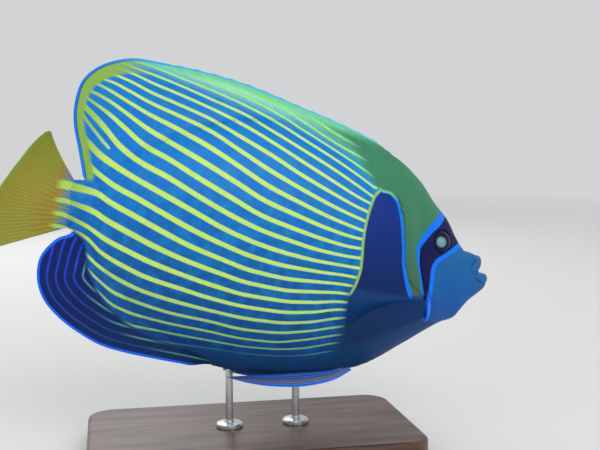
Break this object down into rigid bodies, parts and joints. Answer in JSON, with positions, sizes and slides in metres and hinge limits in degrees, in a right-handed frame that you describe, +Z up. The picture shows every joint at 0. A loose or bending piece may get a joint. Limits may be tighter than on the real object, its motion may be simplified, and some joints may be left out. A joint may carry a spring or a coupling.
{
  "type": "emperor angelfish display model",
  "caption": "Life-size display model of an adult emperor angelfish swimming nose-down with its tail turned, on a rodded wooden base.",
  "frame": {"origin": "centre of the whole model's outline seen from above, on the underside of the stand's base", "axes": "+X towards the fish's head, level; +Z up; the fish's right side faces -Y. The fish itself is pitched nose-down by 11 degrees"},
  "size_m": [0.315, 0.112, 0.2454],
  "materials": {
    "head_skin": "painted skin, satin, with fine scales",
    "flank_skin": "painted scales, satin, blue with narrow yellow stripes",
    "lip_skin": "painted smooth skin, satin",
    "eye": "polished, dark iris and pale pupil",
    "cheek_spine": "painted, glossy",
    "dorsal_fin": "painted, satin, with a bright blue margin",
    "anal_fin": "painted, satin, with fine blue lines",
    "tail_fin": "painted, satin, slightly translucent at the edge",
    "pectoral_fin": "translucent, satin",
    "pelvic_fin": "painted, satin",
    "stand_wood": "dark, oiled",
    "stand_steel": "brushed"
  },
  "bodies": {
    "root": {"head": "head_skin", "trunk": "flank_skin", "tail_stalk": "flank_skin", "gill_cover_right": "head_skin", "gill_cover_left": "head_skin", "upper_jaw": "lip_skin", "lower_jaw": "lip_skin", "eye_right": "eye", "eye_left": "eye", "cheek_spine_right": "cheek_spine", "cheek_spine_left": "cheek_spine", "dorsal_fin_spiny": "dorsal_fin", "dorsal_fin_soft": "dorsal_fin", "anal_fin": "anal_fin", "tail_fin": "tail_fin", "pectoral_fin_right": "pectoral_fin", "pectoral_fin_left": "pectoral_fin", "pelvic_fin_right": "pelvic_fin", "pelvic_fin_left": "pelvic_fin", "stand_base": "stand_wood", "stand_rod_front": "stand_steel", "stand_rod_rear": "stand_steel"}
  },
  "joints": []
}
